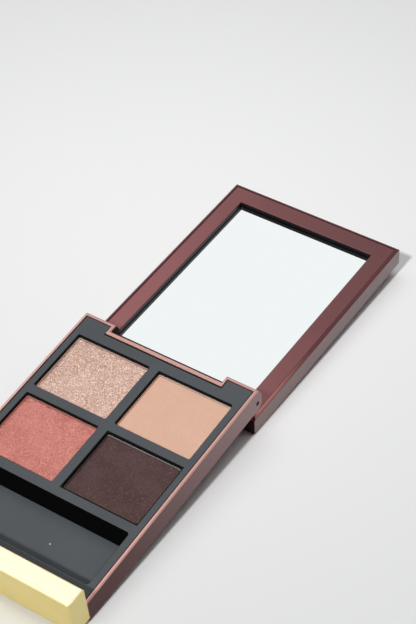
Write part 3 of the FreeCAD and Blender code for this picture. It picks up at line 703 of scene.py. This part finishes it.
def cake_plan(tree, given, x, y):
    """A grid pulled in to the radius at its corners, which remembers how far each point reaches into one."""
    grid = put(tree, "GeometryNodeMeshGrid", {"Size X": given["Width"], "Size Y": given["Length"]})
    grid.inputs["Vertices X"].default_value = grid.inputs["Vertices Y"].default_value = GRID_POINTS
    corner, past = given["Corner"], []
    for v, side in ((x, "Width"), (y, "Length")):
        core = sum_of(tree, "SUBTRACT", sum_of(tree, "MULTIPLY", given[side], 0.5), corner)
        past.append(sum_of(tree, "MAXIMUM", sum_of(tree, "SUBTRACT", sum_of(tree, "ABSOLUTE", v), core), 0.0))
    over = sum_of(tree, "SQRT", sum_of(tree, "ADD", *[sum_of(tree, "POWER", v, 2.0) for v in past]))
    pull = sum_of(tree, "MINIMUM", sum_of(tree, "DIVIDE", corner, sum_of(tree, "MAXIMUM", over, SMALLEST)), 1.0)
    back = sum_of(tree, "SUBTRACT", 1.0, pull)
    shifts = []
    for v, beyond in ((x, past[0]), (y, past[1])):
        inwards = sum_of(tree, "MULTIPLY", sum_of(tree, "SIGN", v), -1.0)
        shifts.append(sum_of(tree, "MULTIPLY", sum_of(tree, "MULTIPLY", beyond, back), inwards))
    shift = put(tree, "ShaderNodeCombineXYZ", dict(enumerate(shifts))).outputs[0]
    margin = sum_of(tree, "DIVIDE", sum_of(tree, "MULTIPLY", over, pull), corner)
    noted = put(tree, "GeometryNodeStoreNamedAttribute", {"Geometry": grid.outputs[0], "Name": "margin"})
    feed(tree, noted.inputs["Value"], margin)
    return put(tree, "GeometryNodeSetPosition", {"Geometry": noted.outputs[0], "Offset": shift}).outputs[0]


print("a plan has", GRID_POINTS ** 2, "points")

# %% Cake: a block and the height of its top
ROUNDING = 0.10 * MM


def cake_block(tree, plan, thickness):
    """The plan lowered and lifted again: the lifted faces are the top, and a turned copy closes the bottom."""
    drop = put(tree, "ShaderNodeCombineXYZ", {2: sum_of(tree, "MULTIPLY", thickness, -1.0)}).outputs[0]
    low = put(tree, "GeometryNodeSetPosition", {"Geometry": plan, "Offset": drop}).outputs[0]
    rise = put(tree, "ShaderNodeCombineXYZ", {2: thickness}).outputs[0]
    block = put(tree, "GeometryNodeExtrudeMesh", {"Mesh": low, "Offset": rise, "Offset Scale": 1.0})
    block.inputs["Individual"].default_value = False
    return block.outputs, put(tree, "GeometryNodeFlipFaces", {"Mesh": low}).outputs[0]


def cake_lift(tree, given, place, x, y):
    """How far each point of the top rises: a crown, a rounded margin and the grain."""
    reach = []
    for v, side in ((x, "Width"), (y, "Length")):
        share = sum_of(tree, "DIVIDE", sum_of(tree, "ABSOLUTE", v), sum_of(tree, "MULTIPLY", given[side], 0.5))
        reach.append(sum_of(tree, "SUBTRACT", 1.0, sum_of(tree, "POWER", share, 2.0)))
    crown = sum_of(tree, "MULTIPLY", given["Crown"], sum_of(tree, "MULTIPLY", *reach))
    margin = put(tree, "GeometryNodeInputNamedAttribute", {"Name": "margin"}).outputs[0]
    fall = sum_of(tree, "MULTIPLY", sum_of(tree, "POWER", margin, 6.0), -ROUNDING)
    wanted = {"Vector": place, "W": given["Seed"], "Scale": given["Coarse"], "Detail": 3.0}
    rough = put(tree, "ShaderNodeTexNoise", wanted, noise_dimensions="4D").outputs[0]
    bumps = sum_of(tree, "MULTIPLY", sum_of(tree, "SUBTRACT", rough, 0.5), given["Grain"])
    return sum_of(tree, "ADD", sum_of(tree, "ADD", crown, fall), bumps)


print("margins fall by", round(1000 * ROUNDING, 2), "mm")

# %% Cake: the whole tree
GEOMETRY, MATERIAL, INTEGER = "NodeSocketGeometry", "NodeSocketMaterial", "NodeSocketInt"
CAKE_SIZES = {"Width": 0.02, "Length": 0.02, "Thickness": 0.004, "Corner": 0.001, "Crown": 0.0, "Grain": 0.0}
CAKE_NOISE = {"Coarse": 900.0, "Seed": 0.0}
cake_inputs = [(label, FLOAT, value) for label, value in {**CAKE_SIZES, **CAKE_NOISE}.items()]
CAKE, given, out = new_group(
    "GeometryNodeTree", "pressed_cake", cake_inputs + [("Powder", MATERIAL, None)], [("Cake", GEOMETRY)]
)
place = put(CAKE, "GeometryNodeInputPosition").outputs[0]
x, y, _ = put(CAKE, "ShaderNodeSeparateXYZ", {0: place}).outputs
block, bottom = cake_block(CAKE, cake_plan(CAKE, given, x, y), given["Thickness"])
lift = put(CAKE, "ShaderNodeCombineXYZ", {2: cake_lift(CAKE, given, place, x, y)}).outputs[0]
lifted = put(CAKE, "GeometryNodeSetPosition", {"Geometry": block["Mesh"], "Selection": block["Top"], "Offset": lift})
smooth = put(CAKE, "GeometryNodeSetShadeSmooth", {"Geometry": lifted.outputs[0], "Selection": block["Top"]})
whole = put(CAKE, "GeometryNodeJoinGeometry")
for part in (smooth.outputs[0], bottom):
    feed(CAKE, whole.inputs[0], part)
closed = put(CAKE, "GeometryNodeMergeByDistance", {"Geometry": whole.outputs[0], "Distance": 0.002 * MM})
plain = put(CAKE, "GeometryNodeRealizeInstances", {"Geometry": closed.outputs[0]})
dressed = put(CAKE, "GeometryNodeSetMaterial", {"Geometry": plain.outputs[0], "Material": given["Powder"]})
feed(CAKE, out["Cake"], dressed.outputs[0])
print(CAKE.name, "has", len(CAKE.nodes), "nodes")

# %% Bake a tree to a plain mesh
def grow(tree, name, values, mesh=None):
    """Runs a Geometry Nodes tree with its named inputs and gives the plain mesh of the result."""
    seed = bpy.data.objects.new(name + "_maker", mesh or bpy.data.meshes.new(name + "_maker"))
    bpy.context.scene.collection.objects.link(seed)
    maker = seed.modifiers.new("maker", "NODES")
    maker.node_group = tree
    for item in tree.interface.items_tree:
        if item.in_out == "INPUT" and item.name in values:
            maker[item.identifier] = values[item.name]
    bpy.context.view_layer.update()
    depsgraph = bpy.context.evaluated_depsgraph_get()
    made = bpy.data.meshes.new_from_object(seed.evaluated_get(depsgraph), depsgraph=depsgraph)
    made.name = name
    seed.modifiers.remove(maker)
    bpy.data.objects.remove(seed)
    return made


def settle(mesh, name, place, body):
    """Turns a mesh into its body's lean, puts it in its place from the hinge, and lets it ride there."""
    mesh.transform(Matrix.Translation(HINGE) @ Matrix.Rotation(TURN[body], 4, "X") @ Matrix.Translation(place))
    made = bpy.data.objects.new(name, mesh)
    bpy.context.scene.collection.objects.link(made)
    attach(made, body)
    return made


print("the base leans by", round(math.degrees(TURN["base"]), 2), "degrees")

# %% [markdown]
# ## The four shades
# Pressed powder scatters light like chalk, and the pearl in it adds flakes that flash. The coral and the brown have
# fine pearl, the peach almost none, and the champagne is full of coarse glitter. Plain colours would look like paint,
# so one function gives all four their tones, the share and size of the flakes and how far these lean.

# %% Powder finish
def powder(name, colour_a, colour_b, pearl, flake_scale, share, tilt):
    """A pressed powder: two tones of chalk with pearl flakes among them."""
    made, tree, shader, spot = new_finish(name, Specular_IOR_Level=0.25)
    place = own_place(tree, spot, "base")
    skin = use(tree, SKIN, Vector=place, Cloud_Scale=160.0, Peel_Scale=3600.0)
    flakes = use(tree, SHIMMER, Vector=place, Scale=flake_scale, Share=share, Tilt=tilt)
    grain = ramp(tree, skin["Peel"], 0.3, 0.7)
    tone = sum_of(tree, "ADD", sum_of(tree, "MULTIPLY", skin["Cloud"], 0.45), sum_of(tree, "MULTIPLY", grain, 0.55))
    chalk = blend(tree, tone, colour_a, colour_b)
    glint = blend(tree, flakes["Tint"], *pearl)
    feed(tree, shader.inputs["Base Color"], blend(tree, flakes["Mask"], chalk, glint))
    feed(tree, shader.inputs["Metallic"], sum_of(tree, "MULTIPLY", flakes["Mask"], 0.8))
    feed(tree, shader.inputs["Roughness"], ramp(tree, flakes["Mask"], 0.0, 1.0, 0.85, 0.32))
    feed(tree, shader.inputs["Normal"], flakes["Normal"])
    return made


champagne = powder(
    "champagne_glitter", (0.450, 0.262, 0.194, 1), (0.745, 0.500, 0.415, 1),
    pearl=((0.90, 0.71, 0.63, 1), (0.40, 0.205, 0.138, 1)), flake_scale=4600.0, share=0.40, tilt=0.5,
)
peach = powder(
    "peach_satin", (0.661, 0.400, 0.294, 1), (0.708, 0.433, 0.322, 1),
    pearl=((0.80, 0.54, 0.42, 1), (0.74, 0.46, 0.34, 1)), flake_scale=9000.0, share=0.05, tilt=0.3,
)
coral = powder(
    "coral_satin", (0.435, 0.142, 0.118, 1), (0.668, 0.256, 0.217, 1),
    pearl=((0.71, 0.30, 0.25, 1), (0.40, 0.118, 0.094, 1)), flake_scale=4200.0, share=0.24, tilt=0.4,
)
brown = powder(
    "brown_satin", (0.0530, 0.0270, 0.0252, 1), (0.098, 0.0555, 0.0522, 1),
    pearl=((0.112, 0.064, 0.059, 1), (0.055, 0.028, 0.026, 1)), flake_scale=4200.0, share=0.16, tilt=0.35,
)
print(", ".join(finish.name for finish in (coral, brown, champagne, peach)))

# %% Make the cakes
SHADES = {
    1: ("coral", coral, 0.04 * MM),
    2: ("brown", brown, 0.04 * MM),
    3: ("champagne", champagne, 0.07 * MM),
    4: ("peach", peach, 0.02 * MM),
}
for number, (shade, finish, grain) in SHADES.items():
    low, high = own_box(f"powder_{number}", "base")
    mesh = grow(CAKE, f"{shade}_cake", {
        "Width": high.x - low.x, "Length": high.y - low.y, "Thickness": high.z - low.z, "Corner": 0.30 * MM,
        "Crown": 0.06 * MM, "Grain": grain, "Coarse": 1100.0, "Seed": float(number), "Powder": finish,
    })
    top = Vector(((low.x + high.x) / 2, (low.y + high.y) / 2, high.z))
    if shade == "champagne":
        glitter_bed, glitter_place = mesh.copy(), top
    cake = settle(mesh, f"{shade}_cake", top, "base")
    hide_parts(f"powder_{number}")
    print(cake.name, len(mesh.polygons), "faces")

# %% [markdown]
# ## Glitter
# The champagne cake is full of flakes large enough to be seen one by one. A picture of glitter would lie flat and never
# flash. So a tree scatters points over the cake's top, puts a small hexagonal plate on each at a random lean, gives it
# a random tint, and realizes them all as one mesh. The seed is fixed, so they always lie the same way.

# %% Tree of scattered flakes
FULL_TURN = 6.283
GLITTER, given, out = new_group(
    "GeometryNodeTree", "strewn_glitter",
    [("Cake", GEOMETRY, None), ("Density", FLOAT, 1e6), ("Radius", FLOAT, 0.0001), ("Lean", FLOAT, 0.4),
     ("Seed", INTEGER, 5), ("Foil", MATERIAL, None)],
    [("Glitter", GEOMETRY)],
)
up = put(GLITTER, "ShaderNodeSeparateXYZ", {0: put(GLITTER, "GeometryNodeInputNormal").outputs[0]}).outputs["Z"]
strewn = put(GLITTER, "GeometryNodeDistributePointsOnFaces", {"Mesh": given["Cake"], "Density": given["Density"]})
feed(GLITTER, strewn.inputs["Seed"], given["Seed"])
feed(GLITTER, strewn.inputs["Selection"], sum_of(GLITTER, "GREATER_THAN", up, 0.7))
plate = put(GLITTER, "GeometryNodeMeshCylinder", {"Vertices": 6, "Radius": 1.0, "Depth": 0.22})
negative = sum_of(GLITTER, "MULTIPLY", given["Lean"], -1.0)
least = put(GLITTER, "ShaderNodeCombineXYZ", {0: negative, 1: negative, 2: 0.0}).outputs[0]
most = put(GLITTER, "ShaderNodeCombineXYZ", {0: given["Lean"], 1: given["Lean"], 2: FULL_TURN}).outputs[0]
RANDOM = "FunctionNodeRandomValue"
lean = put(GLITTER, RANDOM, {0: least, 1: most, "Seed": given["Seed"]}, data_type="FLOAT_VECTOR").outputs[0]
size = put(GLITTER, RANDOM, {2: 0.45, 3: 1.0, "Seed": 11}, data_type="FLOAT").outputs[1]
tint = put(GLITTER, RANDOM, {2: 0.0, 3: 1.0, "Seed": 23}, data_type="FLOAT").outputs[1]
placed = put(GLITTER, "GeometryNodeInstanceOnPoints", {"Points": strewn.outputs[0], "Instance": plate.outputs[0]})
feed(GLITTER, placed.inputs["Rotation"], lean)
feed(GLITTER, placed.inputs["Scale"], sum_of(GLITTER, "MULTIPLY", size, given["Radius"]))
tinted = put(GLITTER, "GeometryNodeStoreNamedAttribute", {"Name": "tint", "Value": tint}, domain="INSTANCE")
feed(GLITTER, tinted.inputs["Geometry"], placed.outputs[0])
plain = put(GLITTER, "GeometryNodeRealizeInstances", {"Geometry": tinted.outputs[0]})
dressed = put(GLITTER, "GeometryNodeSetMaterial", {"Geometry": plain.outputs[0], "Material": given["Foil"]})
feed(GLITTER, out["Glitter"], dressed.outputs[0])
print(GLITTER.name, "has", len(GLITTER.nodes), "nodes")

# %% Foil
foil, tree, shader, spot = new_finish("glitter_foil", Metallic=1.0)
tint = put(tree, "ShaderNodeAttribute", attribute_name="tint").outputs["Fac"]
skin = use(tree, SKIN, Vector=spot, Cloud_Scale=900.0, Peel_Scale=9000.0)
shine = blend(tree, ramp(tree, tint, 0.25, 0.75), (0.84, 0.66, 0.58, 1), (0.44, 0.24, 0.17, 1))
clouded = sum_of(tree, "MULTIPLY", skin["Cloud"], 0.3)
feed(tree, shader.inputs["Base Color"], blend(tree, clouded, shine, (0.55, 0.36, 0.29, 1)))
feed(tree, shader.inputs["Roughness"], ramp(tree, skin["Peel"], 0.2, 0.8, 0.36, 0.52))
print(foil.name, "has", len(tree.nodes), "nodes")

# %% Strew the flakes
strewing = {"Density": 14.0e6, "Radius": 0.09 * MM, "Lean": 0.28, "Seed": 5, "Foil": foil}
flakes = grow(GLITTER, "champagne_flakes", strewing, glitter_bed)
settle(flakes, "champagne_flakes", glitter_place, "base")
print(len(flakes.polygons), "faces of glitter")

# %% [markdown]
# ## Bring the scene up to date
# The view layer is updated so that every piece stands where it was placed.

# %% Update the view layer
bpy.context.view_layer.update()
